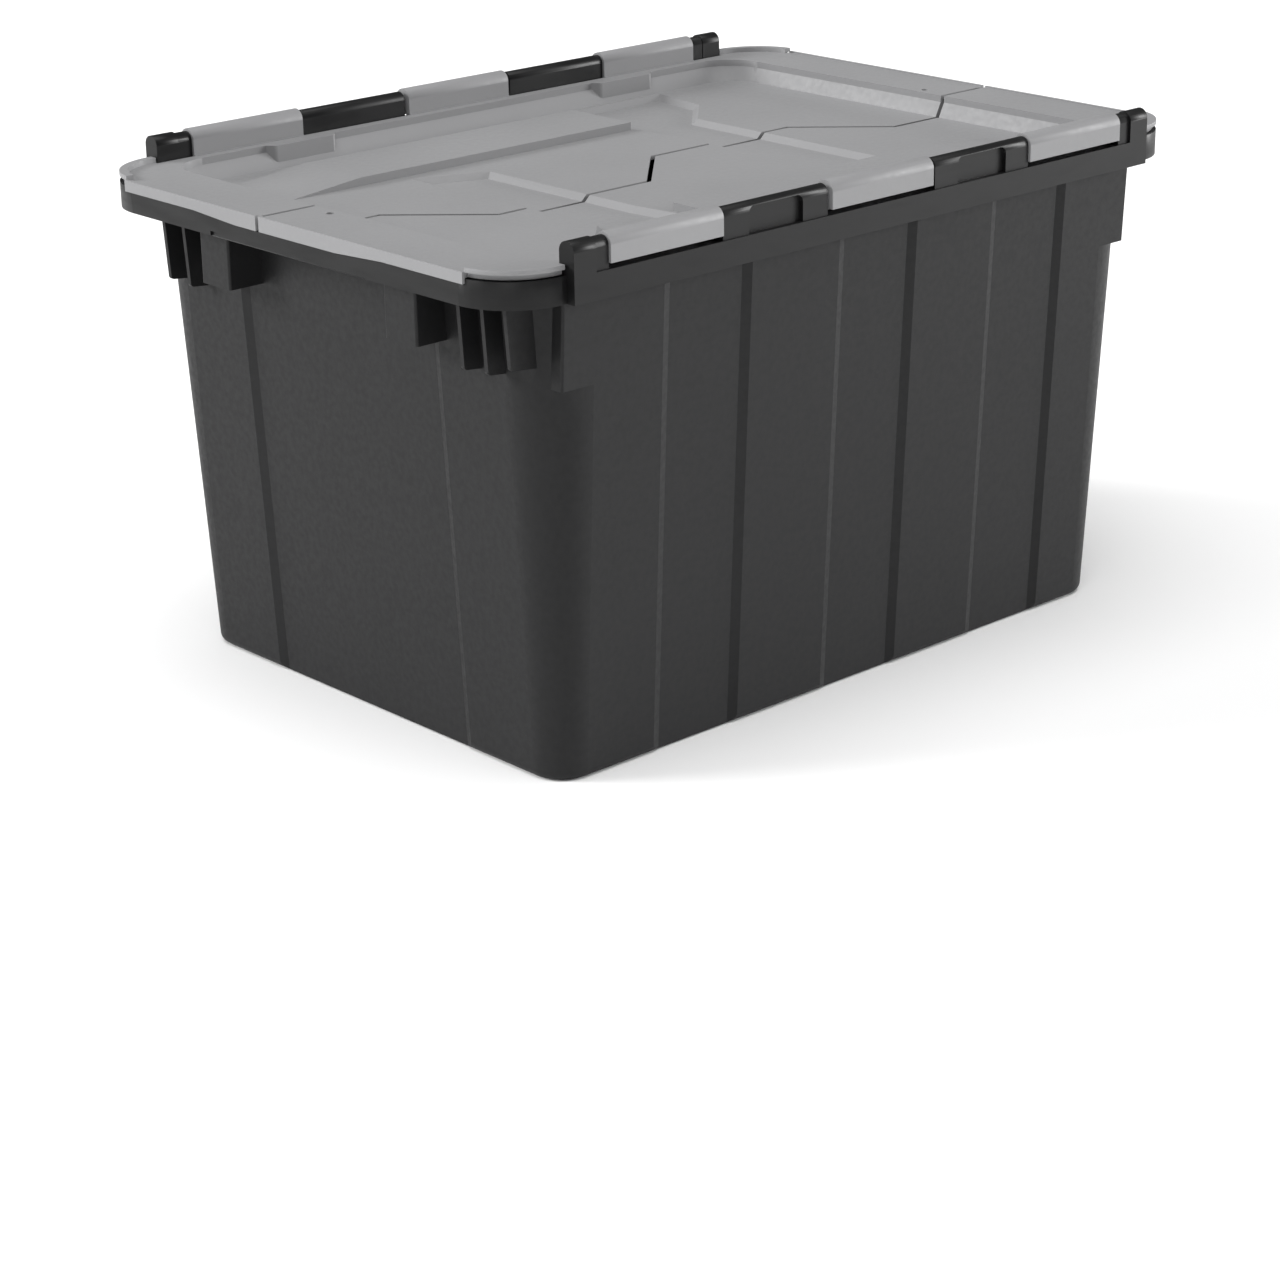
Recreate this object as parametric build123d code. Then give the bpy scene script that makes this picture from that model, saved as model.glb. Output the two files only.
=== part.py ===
from build123d import *
import math
import os

# Attached lid tote: a tapered plastic tub with two interlocking lids, each
# hinged on a steel rod along one long side. Millimetres, +Z up, origin at the
# centre of the base, X along the tote's length.

# --- Driving dimensions ---------------------------------------------------
WALL = 3.0                # moulded wall of the tub
OVERLAP = 0.5             # how far pieces of one moulding reach into each other
CLEAR = 5.0               # how far cutters reach past what they cut
SKIN = 2.5                # moulded wall of the lids
DRAFT_DEG = 3.0           # side walls lean out by this much so that empty tubs nest
BASE_X = 227.5            # half length of the base
BASE_Y = 165.0            # half width of the base
BASE_CORNER = 21.0        # vertical corner radius at the base
BASE_EDGE = 5.5           # radius of the bottom edge
BASE_EDGE_INSIDE = 4.5
RIM_TOP = 294.2
SKIRT_BOTTOM = 279.2
RIM_X = 272.0             # half length over the rim's skirt
RIM_Y = 185.0             # half width over the skirt at the corners
RIM_CORNER = 38.0
HINGE_Y = 191.0           # half width over the hinges
HINGE_X = 230.8           # half length of the hinge line

DRAFT = math.tan(math.radians(DRAFT_DEG))

# Pressed-in panels of the walls
PANEL_DEPTH = 2.3
PANEL_RAMP = 6.0          # width of the sloping edge of a panel
LONG_PANELS = ((-171.0, -105.0), (-41.0, 23.0), (91.0, 157.0))
END_PANEL = (-90.0, 90.0)

# Hand grips: two box ribs under the rim at each end
GRIP_RIB = (70.5, 97.5)   # a box rib runs between these distances from the middle
GRIP_FRONT = 261.0
GRIP_BOTTOM = 245.0
GRIP_LIP = 2.2            # inward roll of the skirt between the box ribs
GRIP_SETBACK = 1.3        # the rolled lip is set back from the skirt's face
GRIP_LIP_BOTTOM = 278.2
GRIP_LIP_TOP = 281.8
GRIP_LIP_ROUND = 1.2
EDGE_ROUND = 1.5          # upright edges of the box ribs and corner pads

# Stiffening fins under the rim: place across the tote, height of the foot's outer corner
FIN = 2.8
END_FINS = ((124.0, 236.0), (143.5, 237.0))
THIRD_FIN = (162.0, 243.0)    # only at two opposite corners
FIN_REACH = (254.3, 251.6)    # half length over the fins, at the skirt and at the foot
FIN_SLOPE = 2.5               # the foot runs down to the wall by this much
FIN_ROUND = 2.0
CORNER_PAD = (186.0, 229.0)   # pad that carries the long wall's plane past the rounded corner
CORNER_PAD_BOTTOM = 229.5

# Hinges
AXIS_Y = 184.7
AXIS_Z = 306.7
ROD_R = 2.0
ROD_FIT = 0.06            # radial running clearance
KNUCKLE_R = 6.3           # lid knuckles
KNUCKLE_BOTTOM = 297.1
KNUCKLE_FOOT_Y = 182.0    # outer face of the strip that joins a knuckle to its lid
EAR_R = 4.9               # tub knuckles, a little smaller than the lid's
KNUCKLES = ((-205.2, -124.1), (-40.9, 40.9), (124.1, 205.2))
EARS = ((43.5, 123.5), (205.7, 215.5))
END_BLOCK = (215.3, HINGE_X)
BLOCK_INNER_Y = 179.5
WAIST = (62.8, 104.0)     # hollow between two ears
WAIST_TOP = 309.3
WAIST_ROUND = 4.0
ROD_BLIND_END = -226.0
ROD_ENDS = (-225.5, 229.0)

# Lids
LID_GAP = 0.5             # over the rim
LEDGE_TOP = RIM_TOP + LID_GAP + SKIN
LID_EDGE_Y = 178.4        # edge of the lid beside the tub's ears
LID_CORNER_X = 231.7      # the lid reaches over the corners beyond this
FLANGE_X = 273.0
FLANGE = 2.1
FLANGE_Y = 152.0
FLANGE_TOP = 298.0
FLANGE_BOTTOM = 291.5
TAB_Y = (45.0, 85.0)      # the middle of the flange is deeper, for lifting the lid
TAB_BOTTOM = 289.3
FLANGE_ROOM = 0.5
LIP_TOP = 300.2
LIP = 5.0
LIP_SKIN = 2.6            # the lip is hollow below, so its edge is this thick
LIP_HOLLOW = 2.5          # width of the hollow

# Sunken middle of the lids, which holds the base of the tote above
SUNK_X = 232.0
SUNK_Y = 171.0
SUNK_CORNER = 27.0
SUNK_WALL_BOTTOM = 293.0  # a bevel runs from here down to the floor
FLOOR_CORNER = 21.0
FLOOR_X = 227.5
FLOOR_Y = 163.0
FLOOR_TOP = 284.0
SHELF_TOP = 289.1
SHELF_Y = (89.5, 145.0)   # the shelf runs along a long side, with a gutter behind it
SHELF_ENDS = (-150.0, 66.0)
SHELF_RAMP = 52.0         # its outer end fades into the floor
GROOVE_TOP = 280.4
GROOVE_BEVEL = 4.0
GROOVE_SKIN = 1.5         # thickness across the bevel
GROOVE = ((72, -64), (118, -83), (119, 84), (150, 115), (157, 160), (68, 160), (68, 97), (72, 64))
BUMP = (106.0, 158.0)     # the long side's wall bulges in, into a panel of the tote above
BUMP_DEPTH = 5.3
BUMP_RAMP = 4.0
BUMP_ROUND = 2.5

# Seam between the lids: one half, from the middle outwards; the other half is it turned over
SEAM = ((24, 24), (140, 24), (188, -24), (300, -24.5))
SEAM_GAP = 2.8
SEAM_REACH = 400.0        # larger than the tote, for cutting the lids apart

# Holes for a security tie, through lid and rim
TIE_X = 238.6
TIE_Y = 3.0
TIE_R = 2.5
TIE_TAB_X = 235.2
TIE_TAB_HALF = 9.0
TIE_TAB_ROUND = 2.0


# --- Helpers ----------------------------------------------------------------
def block(x0, x1, y0, y1, z0, z1):
    """A box between two corners."""
    return Pos((x0 + x1) / 2, (y0 + y1) / 2, (z0 + z1) / 2) * Box(x1 - x0, y1 - y0, z1 - z0)


def rounded_block(half_x, half_y, radius, z0, z1):
    outline = Pos(0, 0, z0) * RectangleRounded(2 * half_x, 2 * half_y, radius)
    return extrude(outline, amount=z1 - z0)


def tapered_block(half_x, half_y, radius, z0, z1):
    """Rounded block whose sides lean out by the draft."""
    outline = Pos(0, 0, z0) * RectangleRounded(2 * half_x, 2 * half_y, radius)
    return extrude(outline, amount=z1 - z0, taper=-DRAFT_DEG)


def prism(points, z0, z1):
    return extrude(Pos(0, 0, z0) * make_face(Polyline(points, close=True)), amount=z1 - z0)


def along_x(section, x0, x1):
    """Extrude a section, drawn with Y across and Z up, from x0 to x1."""
    return extrude(Plane.YZ.offset(x0) * section, amount=x1 - x0)


def both_x(shape):
    return [shape, mirror(shape, about=Plane.YZ)]


def all_corners(shape):
    """The shape and its mirror images, one for each quarter of the tote."""
    pair = both_x(shape)
    return pair + [mirror(one, about=Plane.XZ) for one in pair]


def half_turn(shape):
    return Rot(0, 0, 180) * shape


# --- Tub ----------------------------------------------------------------------
def panel(start, end, wall_half, depth):
    """Cutter for a pressed-in panel on the +Y wall; it leans out with the wall."""
    outside = wall_half + 6 * CLEAR
    floor = wall_half - depth
    outline = [
        (start, outside), (start, wall_half), (start + PANEL_RAMP, floor),
        (end - PANEL_RAMP, floor), (end, wall_half), (end, outside),
    ]
    lean = Vector(0, DRAFT, 1)
    face = Pos(0, 0, -1) * make_face(Polyline(outline, close=True))
    return extrude(face, amount=(RIM_TOP + 2 * CLEAR) * lean.length, dir=lean)


def all_panels(inset, grow):
    """Every wall panel, moved in by inset and grown sideways."""
    cutters = []
    for start, end in LONG_PANELS:
        long_side = panel(start - grow, end + grow, BASE_Y - inset, PANEL_DEPTH)
        cutters += [long_side, half_turn(long_side)]
    start, end = END_PANEL
    end_wall = Rot(0, 0, -90) * panel(start - grow, end + grow, BASE_X - inset, PANEL_DEPTH)
    return cutters + [end_wall, half_turn(end_wall)]


def tub_outside():
    body = tapered_block(BASE_X, BASE_Y, BASE_CORNER, 0, RIM_TOP)
    body = fillet(body.edges().group_by(Axis.Z)[0], BASE_EDGE)
    return body - all_panels(0, 0)


def tub_inside():
    """The space in the tub; it follows the panels, so the wall keeps its thickness."""
    lean = WALL * DRAFT
    room = tapered_block(BASE_X - WALL + lean, BASE_Y - WALL + lean, BASE_CORNER - WALL, WALL, RIM_TOP + CLEAR)
    room = fillet(room.edges().group_by(Axis.Z)[0], BASE_EDGE_INSIDE)
    return room - all_panels(WALL, WALL / 2)


def flange_section(room):
    """The end flange seen from the end, with room round it; the middle hangs lower."""
    inner, outer = TAB_Y
    side = [(inner, TAB_BOTTOM - room), (outer, FLANGE_BOTTOM - room), (FLANGE_Y + room, FLANGE_BOTTOM - room),
            (FLANGE_Y + room, FLANGE_TOP)]
    other_side = [(-y, z) for y, z in reversed(side)]
    return make_face(Polyline(side + other_side, close=True))


def rim():
    """Flat rim with a skirt turned down round it, wider along the hinges."""
    under = RIM_TOP - WALL
    outer = rounded_block(RIM_X, RIM_Y, RIM_CORNER, SKIRT_BOTTOM, RIM_TOP)
    outer += block(-HINGE_X, HINGE_X, -HINGE_Y, HINGE_Y, SKIRT_BOTTOM, RIM_TOP)
    inner = rounded_block(RIM_X - WALL, RIM_Y - WALL, RIM_CORNER - WALL, SKIRT_BOTTOM, under)
    inner += block(WALL - HINGE_X, HINGE_X - WALL, WALL - HINGE_Y, HINGE_Y - WALL, SKIRT_BOTTOM, under)
    ring = outer - inner
    rebate = along_x(flange_section(FLANGE_ROOM), FLANGE_X - FLANGE - FLANGE_ROOM, RIM_X + CLEAR)
    grip = block(RIM_X - GRIP_SETBACK, RIM_X + CLEAR, -GRIP_RIB[0], GRIP_RIB[0], 0, GRIP_LIP_TOP)
    return ring - both_x(rebate + grip)


def grip_parts():
    """Box ribs each side of the hand grip, open below, and the rolled lip between them."""
    near, far = GRIP_RIB
    box_rib = block(BASE_X, GRIP_FRONT, near, far, GRIP_BOTTOM, RIM_TOP - WALL)
    hollow = block(0, GRIP_FRONT - SKIN, near + SKIN, far - SKIN, 0, RIM_TOP - WALL - SKIN)
    box_rib = fillet(box_rib.edges().filter_by(Axis.Z).group_by(Axis.X)[-1], EDGE_ROUND) - hollow
    lip = block(RIM_X - WALL - GRIP_LIP, RIM_X - GRIP_SETBACK, -near, near, GRIP_LIP_BOTTOM, GRIP_LIP_TOP)
    lip = fillet(lip.edges().filter_by(Axis.Y), GRIP_LIP_ROUND)
    return all_corners(box_rib) + both_x(lip)


def end_fin(y, foot):
    """Upright plate under the rim, square to the end wall."""
    under = RIM_TOP - WALL
    high, low = FIN_REACH
    outline = [(BASE_X, under), (high, under), (high, SKIRT_BOTTOM), (low, foot), (BASE_X, foot - FIN_SLOPE)]
    plate = extrude(Plane.XZ * make_face(Polyline(outline, close=True)), amount=FIN / 2, both=True)
    low_corner = plate.edges().filter_by(Axis.Y).group_by(Axis.Z)[1]
    return Pos(0, y, 0) * fillet(low_corner, FIN_ROUND)


def corner_pad():
    """Pad under the rim that squares off the rounded corner, flush with the long wall."""
    low = BASE_Y + CORNER_PAD_BOTTOM * DRAFT
    high = BASE_Y + RIM_TOP * DRAFT
    outline = [(BASE_Y, CORNER_PAD_BOTTOM), (low, CORNER_PAD_BOTTOM), (high, RIM_TOP), (BASE_Y, RIM_TOP)]
    pad = along_x(make_face(Polyline(outline, close=True)), *CORNER_PAD)
    return fillet(pad.faces().sort_by(Axis.X)[-1].edges().sort_by(Axis.Y)[-1], EDGE_ROUND)


def ear(x0, x1):
    """Tub knuckle: a barrel on a web that stands on the rim."""
    height = AXIS_Z - RIM_TOP + OVERLAP
    web = Pos(AXIS_Y, AXIS_Z - height / 2) * Rectangle(2 * EAR_R, height)
    return along_x(Pos(AXIS_Y, AXIS_Z) * Circle(EAR_R) + web, x0, x1)


def end_block():
    """Closed block at the end of a hinge, flush with the skirt."""
    width = HINGE_Y - BLOCK_INNER_Y
    middle = (HINGE_Y + BLOCK_INNER_Y) / 2
    height = AXIS_Z - SKIRT_BOTTOM
    section = Pos(middle, AXIS_Z) * Circle(width / 2)
    section += Pos(middle, SKIRT_BOTTOM + height / 2) * Rectangle(width, height)
    return along_x(section, *END_BLOCK)


def tub_hinge_parts():
    link_start, link_end = EARS[0]
    link = ear(link_start, link_end)
    waist = block(*WAIST, AXIS_Y + ROD_R + OVERLAP, HINGE_Y, RIM_TOP, WAIST_TOP)
    waist = fillet(waist.edges().filter_by(Axis.Y).group_by(Axis.Z)[-1], WAIST_ROUND)
    pieces = [link - waist, ear(*EARS[1]), end_block()]
    return [copy for piece in pieces for copy in all_corners(piece)]


def rod_hole(y):
    """Bore for a hinge rod: blind at one end of the tote, open at the other."""
    return along_x(Pos(y, AXIS_Z) * Circle(ROD_R + ROD_FIT), ROD_BLIND_END, HINGE_X + OVERLAP)


def tie_tab():
    """Tab inside the rim that carries the hole for a security tie."""
    plate = block(TIE_TAB_X, BASE_X + RIM_TOP * DRAFT, TIE_Y - TIE_TAB_HALF, TIE_Y + TIE_TAB_HALF,
                  RIM_TOP - WALL, RIM_TOP)
    return half_turn(fillet(plate.edges().filter_by(Axis.Z).group_by(Axis.X)[0], TIE_TAB_ROUND))


def tie_hole():
    """Cutter for a tie hole, through the tab and the lid over it."""
    hole = extrude(Circle(TIE_R), amount=2 * WALL + SKIN)
    return Pos(-TIE_X, TIE_Y, RIM_TOP - WALL) * hole


def tub():
    outside = tub_outside() + rim()
    outside += grip_parts()
    for fin in END_FINS:
        outside += all_corners(end_fin(*fin))
    third = end_fin(*THIRD_FIN)
    outside += [third, half_turn(third)]
    outside += all_corners(corner_pad())
    outside += tub_hinge_parts()
    shell = outside - tub_inside()
    tab = Pos(0, 2 * TIE_Y, 0) * tie_tab()
    shell += [tab, half_turn(tab)]
    shell -= [tie_hole(), half_turn(tie_hole())]
    return shell - [rod_hole(AXIS_Y), rod_hole(-AXIS_Y)]


# --- Lids -----------------------------------------------------------------------
def lid_outline(inset, z0, z1):
    """The lids' outer shape: over the rim at the corners, short of the hinges between them."""
    whole = rounded_block(RIM_X - inset, RIM_Y - inset, RIM_CORNER - inset, z0, z1)
    beside_hinge = block(-LID_CORNER_X, LID_CORNER_X, LID_EDGE_Y, HINGE_Y, z0, z1)
    return whole - [beside_hinge, half_turn(beside_hinge)]


def sunk_block(grow, drop):
    """The sunken middle as a solid: a short straight wall, then a bevel to the floor."""
    top = LEDGE_TOP if drop == 0 else RIM_TOP + LID_GAP
    straight = rounded_block(SUNK_X + grow, SUNK_Y + grow, SUNK_CORNER + grow, SUNK_WALL_BOTTOM - drop, top)
    upper = RectangleRounded(2 * (SUNK_X + grow), 2 * (SUNK_Y + grow), SUNK_CORNER + grow)
    lower = RectangleRounded(2 * (FLOOR_X + grow), 2 * (FLOOR_Y + grow), FLOOR_CORNER + grow)
    bevel = loft([Pos(0, 0, SUNK_WALL_BOTTOM - drop) * upper, Pos(0, 0, FLOOR_TOP - drop) * lower])
    return straight + bevel


def shelf(shrink, top):
    """Raised pad along one long side, where the tote above rests."""
    start, end = SHELF_ENDS
    near, far = SHELF_Y
    low = GROOVE_TOP - CLEAR
    foot = top - SHELF_TOP + FLOOR_TOP
    outline = [(end - shrink, low), (end - shrink, top), (start, top), (start - SHELF_RAMP, foot),
               (start - SHELF_RAMP, low)]
    side = Plane.XZ.offset(-far + shrink) * make_face(Polyline(outline, close=True))
    raised = extrude(side, amount=far - near - 2 * shrink)
    return [raised, half_turn(raised)]


def groove(grow, bottom):
    """Bevelled trough across the floor that opens towards one long side."""
    face = Pos(0, 0, bottom) * make_face(Polyline(GROOVE, close=True))
    face = offset(face, amount=grow, kind=Kind.INTERSECTION) if grow else face
    low = offset(face, amount=-GROOVE_BEVEL, kind=Kind.INTERSECTION)
    depth = FLOOR_TOP - GROOVE_TOP
    cut = loft([low, Pos(0, 0, depth) * face])
    return [cut, half_turn(cut)]


def bump():
    """Bulge of the sunken wall, at a place where the tote above has a panel."""
    start, end = BUMP
    front = SUNK_Y - BUMP_DEPTH
    outline = [(start, SUNK_Y + CLEAR), (start, SUNK_Y), (start + BUMP_RAMP, front),
               (end - BUMP_RAMP, front), (end, SUNK_Y), (end, SUNK_Y + CLEAR)]
    bulge = prism(outline, GROOVE_TOP, LEDGE_TOP)
    front_edges = bulge.edges().filter_by(Axis.Z).group_by(Axis.Y)[0]
    return all_corners(fillet(front_edges, BUMP_ROUND))


def sunk_space():
    """The air over the lids' sunken middle."""
    space = sunk_block(0, 0) - shelf(0, SHELF_TOP)
    space += groove(0, GROOVE_TOP)
    return space - bump()


def sunk_tray():
    """The same shape from below, one skin thickness out."""
    tray = sunk_block(SKIN, SKIN) - shelf(SKIN, SHELF_TOP - SKIN)
    return tray + groove(GROOVE_SKIN, GROOVE_TOP - SKIN)


def corner_lips():
    """Raised edge round the outer corners, which keeps a stacked tote from sliding."""
    low = LEDGE_TOP - OVERLAP
    ring = lid_outline(0, low, LIP_TOP) - rounded_block(RIM_X - LIP, RIM_Y - LIP, RIM_CORNER - LIP, low, LIP_TOP)
    corner = block(LID_CORNER_X, RIM_X, FLANGE_Y, RIM_Y, low, LIP_TOP)
    return [ring & one for one in all_corners(corner)]


def corner_hollow():
    """Cutter for the hollow under the corner lips, open to the outside."""
    low = RIM_TOP
    high = LIP_TOP - LIP_SKIN
    outer = RIM_X + CLEAR
    ring = rounded_block(outer, RIM_Y + CLEAR, RIM_CORNER + CLEAR, low, high) - rounded_block(
        RIM_X - LIP_HOLLOW, RIM_Y - LIP_HOLLOW, RIM_CORNER - LIP_HOLLOW, low, high)
    corner = block(LID_CORNER_X - CLEAR, outer, FLANGE_Y, RIM_Y + CLEAR, low, high)
    return [ring & one for one in all_corners(corner)]


def end_flange():
    """Flange turned down over the end skirt."""
    inner = FLANGE_X - FLANGE
    strip = along_x(flange_section(0), inner, FLANGE_X)
    bridge = block(inner - SKIN, inner + OVERLAP, -FLANGE_Y, FLANGE_Y, RIM_TOP + LID_GAP, LEDGE_TOP)
    return both_x(strip + bridge)


def both_lids():
    """Both lids in one, before the seam is cut."""
    plate = lid_outline(0, RIM_TOP + LID_GAP, LEDGE_TOP)
    plate += sunk_tray()
    plate += corner_lips()
    plate += end_flange()
    return plate - sunk_space() - corner_hollow() - [tie_hole(), half_turn(tie_hole())]


def seam_side():
    """Everything on the -Y side of the seam, short of it by half the gap."""
    outwards = list(SEAM)
    back = [(-x, -y) for x, y in reversed(outwards)]
    end = outwards[-1][0]
    points = back + outwards + [(end, -SEAM_REACH), (-end, -SEAM_REACH)]
    face = make_face(Polyline(points, close=True))
    return extrude(offset(face, amount=-SEAM_GAP / 2, kind=Kind.INTERSECTION), amount=SEAM_REACH)


def knuckle(x0, x1):
    """Lid knuckle: a barrel with a flat flap outside and the lid's edge inside."""
    inner = AXIS_Y - KNUCKLE_R
    flap_height = AXIS_Z - KNUCKLE_BOTTOM
    foot_height = KNUCKLE_BOTTOM - RIM_TOP - LID_GAP + OVERLAP
    foot_middle = (inner + KNUCKLE_FOOT_Y) / 2 - OVERLAP
    section = Pos(AXIS_Y, AXIS_Z) * Circle(KNUCKLE_R)
    section += Pos(AXIS_Y, KNUCKLE_BOTTOM + flap_height / 2) * Rectangle(2 * KNUCKLE_R, flap_height)
    section += Pos(foot_middle, RIM_TOP + LID_GAP + foot_height / 2) * Rectangle(
        KNUCKLE_FOOT_Y - inner + 2 * OVERLAP, foot_height)
    section -= Pos(AXIS_Y, AXIS_Z) * Circle(ROD_R + ROD_FIT)
    return mirror(along_x(section, x0, x1), about=Plane.XZ)


def lid():
    """The lid hinged on the -Y side; the other one is it turned half round."""
    half = both_lids() & seam_side()
    return half + [knuckle(*span) for span in KNUCKLES]


def hinge_rod():
    return along_x(Pos(-AXIS_Y, AXIS_Z) * Circle(ROD_R), *ROD_ENDS)


# --- Output -----------------------------------------------------------------------
def only_solid(shape):
    solids = shape.solids()
    assert len(solids) == 1, f"expected one solid, found {len(solids)}"
    return solids[0]


front_lid = only_solid(lid())
front_rod = only_solid(hinge_rod())
nodes = {
    "tub": only_solid(tub()),
    "front_lid": front_lid,
    "rear_lid": half_turn(front_lid),
    "front_hinge_rod": front_rod,
    "rear_hinge_rod": mirror(front_rod, about=Plane.XZ),
}

os.makedirs("parts", exist_ok=True)
for name, shape in nodes.items():
    export_step(shape, f"parts/{name}.step")
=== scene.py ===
import math

import bpy
from mathutils import Matrix, Vector


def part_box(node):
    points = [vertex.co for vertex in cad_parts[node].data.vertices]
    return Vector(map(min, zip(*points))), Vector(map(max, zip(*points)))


MM = 0.001

# Camera: where it stands round the tote, how far away, and its lens
CAMERA_AZIMUTH = math.radians(-42.72)
CAMERA_ELEVATION = math.radians(20.58)
CAMERA_ROLL = math.radians(-0.82)
CAMERA_DISTANCE = 2.0195
CAMERA_TARGET_Z = -0.0028
SENSOR_MM = 36.0
LENS_MM = 90.0
SHIFT_X = -0.01355
SHIFT_Y = -0.01861

# Softened edges
TUB_BEVEL = 1.4 * MM
LID_BEVEL = 0.7 * MM
ROD_BEVEL = 0.25 * MM
BEVEL_ANGLE = math.radians(28)

BEVEL_SEGMENTS = 2
WELD = 0.002 * MM

# Plastics: base colour, reflectivity and depth of the grain
TUB_COLOUR = (0.0085, 0.0085, 0.009)
TUB_SPECULAR = 0.27
TUB_GRAIN = 0.10 * MM
LID_COLOUR = (0.235, 0.235, 0.24)
LID_SPECULAR = 0.4
LID_GRAIN = 0.08 * MM
PLASTIC_ROUGHNESS = 0.55
TUB_DRIFT = 0.05
LID_DRIFT = 0.03

# The rim and hinges of the tub are smooth, and their colour is darkened as painted shade; the
# walls below are grained
SKIRT_DEPTH = 33.8 * MM
# Share of the tub colour kept on the rim: painted shade
RIM_PAINTED_SHADE = 0.5
RIM_ROUGHNESS = (0.36, 0.56)

# Stage: the lights as name, direction that the light comes from, spread in degrees, strength
FLOOR_HALF = 30.0
FLOOR_SHADE = 0.93
SKY_STRENGTH = 0.14
LIGHTS = (
    ("left", (-0.66, 0.62, 0.40), 25, 0.95),
    ("right", (0.85, -0.45, 0.15), 20, 0.80),
    ("front", (-0.75, -0.55, 0.25), 40, 0.18),
    ("top", (-0.1, -0.15, 1.0), 60, 0.80),
)


# --- Material nodes ---------------------------------------------------------------
class Nodes:
    """A material's node tree, with short ways to add and join nodes."""

    def __init__(self, name):
        self.material = bpy.data.materials.new(name)
        self.material.use_nodes = True
        self.tree = self.material.node_tree
        self.shader = self.tree.nodes["Principled BSDF"]

    def add(self, kind, **settings):
        node = self.tree.nodes.new("ShaderNode" + kind)
        for key, value in settings.items():
            setattr(node, key, value)
        return node

    def join(self, output, target):
        self.tree.links.new(output, target)

    def noise(self, scale, detail=2.0, roughness=0.5, stretch=(1, 1, 1)):
        place = self.add("TexCoord")
        spread = self.add("Mapping")
        spread.inputs["Scale"].default_value = stretch
        noise = self.add("TexNoise")
        noise.inputs["Scale"].default_value = scale
        noise.inputs["Detail"].default_value = detail
        noise.inputs["Roughness"].default_value = roughness
        self.join(place.outputs["Object"], spread.inputs["Vector"])
        self.join(spread.outputs["Vector"], noise.inputs["Vector"])
        return noise.outputs["Fac"]

    def ramp(self, value, low, high, start=0.3, end=0.7):
        """Map a value to a blend of two greys or colours."""
        ramp = self.add("ValToRGB")
        ramp.color_ramp.elements[0].position = start
        ramp.color_ramp.elements[1].position = end
        ramp.color_ramp.elements[0].color = low
        ramp.color_ramp.elements[1].color = high
        self.join(value, ramp.inputs["Fac"])
        return ramp.outputs["Color"]

    def above(self, height):
        """1 above a height on the tote, 0 below it, with a short blend."""
        place = self.add("TexCoord")
        split = self.add("SeparateXYZ")
        step = self.add("MapRange")
        step.inputs["From Min"].default_value = height - MM
        step.inputs["From Max"].default_value = height + MM
        self.join(place.outputs["Object"], split.inputs["Vector"])
        self.join(split.outputs["Z"], step.inputs["Value"])
        return step.outputs["Result"]

    def mix(self, factor, first, second):
        """Blend a socket with a socket or a fixed colour."""
        mix = self.add("Mix", data_type="RGBA")
        self.join(factor, mix.inputs["Factor"])
        self.join(first, mix.inputs["A"])
        if isinstance(second, bpy.types.NodeSocket):
            self.join(second, mix.inputs["B"])
        else:
            mix.inputs["B"].default_value = second
        return mix.outputs["Result"]

    def bump(self, height, distance, strength, under=None):
        bump = self.add("Bump")
        bump.inputs["Distance"].default_value = distance
        bump.inputs["Strength"].default_value = strength
        self.join(height, bump.inputs["Height"])
        if under:
            self.join(under, bump.inputs["Normal"])
        return bump.outputs["Normal"]


def grey(level):
    return (level, level, level, 1.0)


def shaded(colour, factor):
    """A colour made lighter or darker, with full opacity."""
    return [channel * factor for channel in colour] + [1.0]


def moulded_plastic(name, colour, shade, grain, specular, polish_and_shade_height=None):
    """Polypropylene with a spark-eroded grain, a slow drift of colour and a slight warp.

    polish_and_shade_height, if given, is the height above which the mould was left without grain
    and the colour is darkened as painted shade.
    """
    nodes = Nodes(name)
    drift = nodes.noise(9.0, detail=3.0)
    tint = nodes.ramp(drift, shaded(colour, 1 - shade), shaded(colour, 1 + shade))
    speck = nodes.noise(260.0, detail=2.0)
    gloss = nodes.ramp(speck, grey(PLASTIC_ROUGHNESS - 0.06), grey(PLASTIC_ROUGHNESS + 0.06))
    pits = nodes.noise(900.0, detail=4.0, roughness=0.6)
    if polish_and_shade_height:
        smooth_and_shaded = nodes.above(polish_and_shade_height)
        # Painted shade: above that height the plastic's colour is swapped for a darker copy of
        # itself
        tint = nodes.mix(smooth_and_shaded, tint, shaded(colour, RIM_PAINTED_SHADE))
        streaks = nodes.noise(30.0, detail=4.0, stretch=(1, 1, 4))
        least, most = RIM_ROUGHNESS
        gloss = nodes.mix(smooth_and_shaded, gloss, nodes.ramp(streaks, grey(least), grey(most)))
        pits = nodes.mix(smooth_and_shaded, pits, grey(0.5))
    nodes.join(tint, nodes.shader.inputs["Base Color"])
    nodes.join(gloss, nodes.shader.inputs["Roughness"])
    warp = nodes.noise(14.0, detail=1.0)
    soft = nodes.bump(warp, 1.2 * MM, 0.15)
    nodes.join(nodes.bump(pits, grain, 0.35, under=soft), nodes.shader.inputs["Normal"])
    nodes.shader.inputs["Specular IOR Level"].default_value = specular
    return nodes.material


def drawn_steel(name):
    """Zinc-plated wire, with fine drawing marks along its length."""
    nodes = Nodes(name)
    marks = nodes.noise(400.0, detail=3.0, stretch=(0.02, 1, 1))
    nodes.join(nodes.ramp(marks, grey(0.42), grey(0.62)), nodes.shader.inputs["Base Color"])
    nodes.join(nodes.ramp(marks, grey(0.25), grey(0.42)), nodes.shader.inputs["Roughness"])
    nodes.join(nodes.bump(marks, 0.02 * MM, 0.3), nodes.shader.inputs["Normal"])
    nodes.shader.inputs["Metallic"].default_value = 1.0
    return nodes.material


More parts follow.
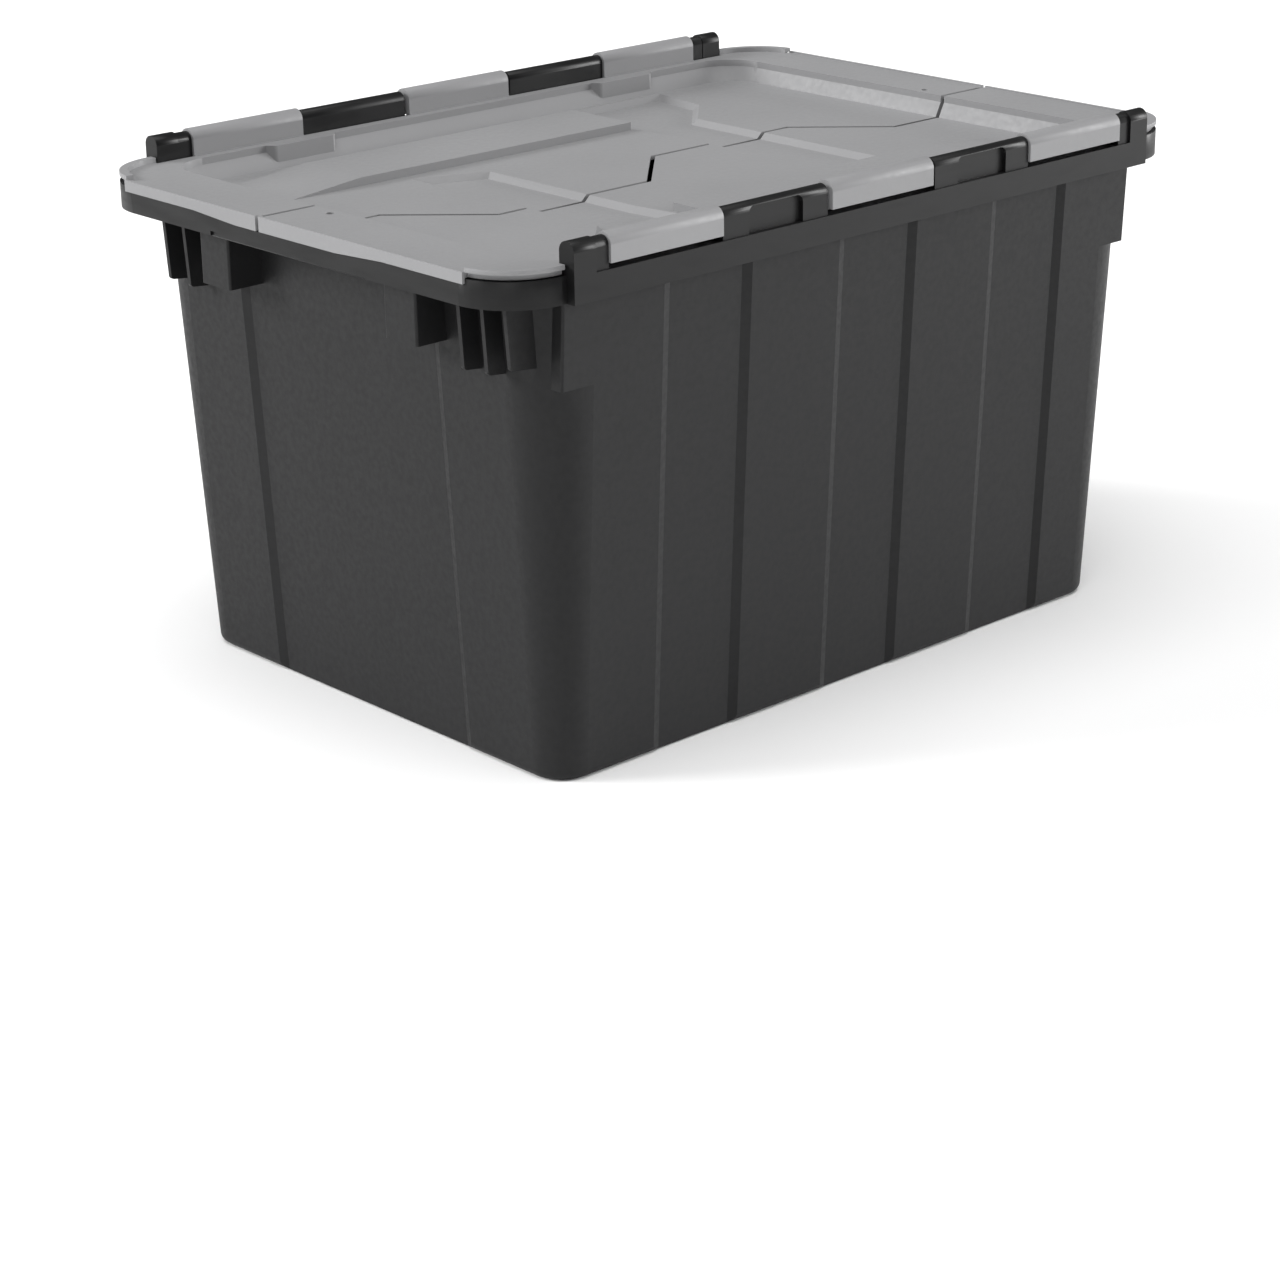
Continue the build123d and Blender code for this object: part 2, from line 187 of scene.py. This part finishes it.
def finish_node(name, material, width):
    """Give a CAD node its material and softened edges."""
    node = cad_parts[name]
    node.data.materials.clear()
    node.data.materials.append(material)
    weld = node.modifiers.new("weld", "WELD")
    weld.merge_threshold = WELD
    bevel = node.modifiers.new("soft_edges", "BEVEL")
    bevel.width = width
    bevel.segments = BEVEL_SEGMENTS
    bevel.limit_method = "ANGLE"
    bevel.angle_limit = BEVEL_ANGLE
    bevel.harden_normals = True


# --- Stage ---------------------------------------------------------------------------
def view_axis():
    level = math.cos(CAMERA_ELEVATION)
    return Vector((
        math.sin(CAMERA_AZIMUTH) * level,
        -math.cos(CAMERA_AZIMUTH) * level,
        math.sin(CAMERA_ELEVATION),
    ))


def make_camera():
    data = bpy.data.cameras.new("camera")
    data.sensor_width = SENSOR_MM
    data.lens = LENS_MM
    data.shift_x = SHIFT_X
    data.shift_y = SHIFT_Y
    camera = bpy.data.objects.new("camera", data)
    bpy.context.collection.objects.link(camera)
    back = view_axis()
    turned = back.to_track_quat("Z", "Y").to_matrix().to_4x4()
    roll = Matrix.Rotation(CAMERA_ROLL, 4, "Z")
    place = Matrix.Translation(Vector((0, 0, CAMERA_TARGET_Z)) + back * CAMERA_DISTANCE)
    camera.matrix_world = place @ turned @ roll
    bpy.context.scene.camera = camera


def make_floor():
    half = FLOOR_HALF
    mesh = bpy.data.meshes.new("floor")
    corners = [(-half, -half, 0), (half, -half, 0), (half, half, 0), (-half, half, 0)]
    mesh.from_pydata(corners, [], [(0, 1, 2, 3)])
    floor = bpy.data.objects.new("floor", mesh)
    bpy.context.collection.objects.link(floor)
    nodes = Nodes("floor")
    nodes.shader.inputs["Base Color"].default_value = grey(FLOOR_SHADE)
    nodes.shader.inputs["Roughness"].default_value = 0.9
    mesh.materials.append(nodes.material)


def soft_light(name, direction, spread, strength):
    """A broad distant light from a direction; strength 1 lights a facing white surface fully."""
    data = bpy.data.lights.new(name, "SUN")
    data.angle = math.radians(spread)
    data.energy = strength * math.pi
    light = bpy.data.objects.new(name, data)
    bpy.context.collection.objects.link(light)
    light.rotation_euler = Vector(direction).to_track_quat("Z", "Y").to_euler()


def make_lights():
    world = bpy.data.worlds.new("studio")
    world.use_nodes = True
    sky = world.node_tree.nodes["Background"]
    sky.inputs["Color"].default_value = grey(1.0)
    sky.inputs["Strength"].default_value = SKY_STRENGTH
    bpy.context.scene.world = world
    for light in LIGHTS:
        soft_light(*light)
    bpy.context.scene.view_settings.view_transform = "Standard"


# --- Tote ------------------------------------------------------------------------------
def dress_tote():
    rim_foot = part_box("tub")[1].z - SKIRT_DEPTH
    tub = moulded_plastic("tub_plastic", TUB_COLOUR, TUB_DRIFT, TUB_GRAIN, TUB_SPECULAR, rim_foot)
    lids = moulded_plastic("lid_plastic", LID_COLOUR, LID_DRIFT, LID_GRAIN, LID_SPECULAR)
    steel = drawn_steel("rod_steel")
    finish_node("tub", tub, TUB_BEVEL)
    for lid in ("front_lid", "rear_lid"):
        finish_node(lid, lids, LID_BEVEL)
    for rod in ("front_hinge_rod", "rear_hinge_rod"):
        finish_node(rod, steel, ROD_BEVEL)


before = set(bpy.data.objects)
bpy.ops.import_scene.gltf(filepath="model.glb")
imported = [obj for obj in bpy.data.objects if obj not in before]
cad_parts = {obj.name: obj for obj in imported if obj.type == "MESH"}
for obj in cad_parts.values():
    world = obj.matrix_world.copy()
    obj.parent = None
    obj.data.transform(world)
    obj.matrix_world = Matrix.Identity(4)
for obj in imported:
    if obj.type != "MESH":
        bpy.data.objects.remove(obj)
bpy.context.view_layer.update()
make_camera()
make_floor()
make_lights()
dress_tote()
